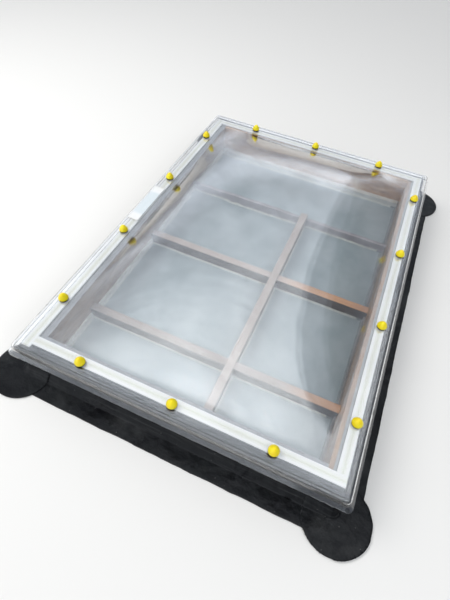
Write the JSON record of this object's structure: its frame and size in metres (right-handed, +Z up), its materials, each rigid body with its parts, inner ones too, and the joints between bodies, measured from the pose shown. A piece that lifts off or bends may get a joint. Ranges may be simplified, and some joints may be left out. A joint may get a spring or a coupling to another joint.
{
  "type": "fixed dome rooflight",
  "caption": "Fixed double-skin clear dome rooflight on a timber kerb dressed in roofing membrane, over timber glazing bars with obscured panes.",
  "frame": {"origin": "middle of the underside, at the level of the kerb's foot on the roof deck", "axes": "+Z up, +Y along the rooflight's long side, +X across it"},
  "size_m": [1.398, 1.898, 0.3499],
  "materials": {
    "clear_skin": "clear, glossy",
    "foam_tape": "matt closed-cell foam",
    "yellow_cap": "moulded, slightly glossy",
    "seal_rubber": "matt",
    "zinc_steel": "zinc plated",
    "roof_membrane": "slightly glossy, wrinkled",
    "kerb_timber": "sawn, weathered",
    "brown_lining": "varnished",
    "pale_sill": "painted",
    "bar_timber": "oiled",
    "putty": "matt",
    "obscured_glass": "frosted"
  },
  "bodies": {
    "root": {"cant_strip_far": "kerb_timber", "cant_strip_left": "kerb_timber", "cant_strip_near": "kerb_timber", "cant_strip_right": "kerb_timber", "cross_bar_1": "bar_timber", "cross_bar_2": "bar_timber", "cross_bar_3": "bar_timber", "fixing_screws": "zinc_steel", "inner_dome": "clear_skin", "kerb_board_far": "kerb_timber", "kerb_board_left": "kerb_timber", "kerb_board_near": "kerb_timber", "kerb_board_right": "kerb_timber", "kerb_screws": "zinc_steel", "lining_board_far": "brown_lining", "lining_board_left": "brown_lining", "lining_board_near": "brown_lining", "lining_board_right": "brown_lining", "long_bar": "bar_timber", "membrane_corner_far_left": "roof_membrane", "membrane_corner_far_right": "roof_membrane", "membrane_corner_near_left": "roof_membrane", "membrane_corner_near_right": "roof_membrane", "membrane_far": "roof_membrane", "membrane_left": "roof_membrane", "membrane_near": "roof_membrane", "membrane_right": "roof_membrane", "outer_dome": "clear_skin", "pane_1": "obscured_glass", "pane_2": "obscured_glass", "pane_3": "obscured_glass", "pane_4": "obscured_glass", "pane_5": "obscured_glass", "pane_6": "obscured_glass", "pane_7": "obscured_glass", "putty_1": "putty", "putty_2": "putty", "putty_3": "putty", "putty_4": "putty", "putty_5": "putty", "putty_6": "putty", "putty_7": "putty", "screw_caps": "yellow_cap", "sealing_tape_far": "foam_tape", "sealing_tape_left": "foam_tape", "sealing_tape_near": "foam_tape", "sealing_tape_right": "foam_tape", "sealing_washers": "seal_rubber", "sill_far": "pale_sill", "sill_left": "pale_sill", "sill_near": "pale_sill", "sill_right": "pale_sill", "steel_washers": "zinc_steel"}
  },
  "joints": []
}
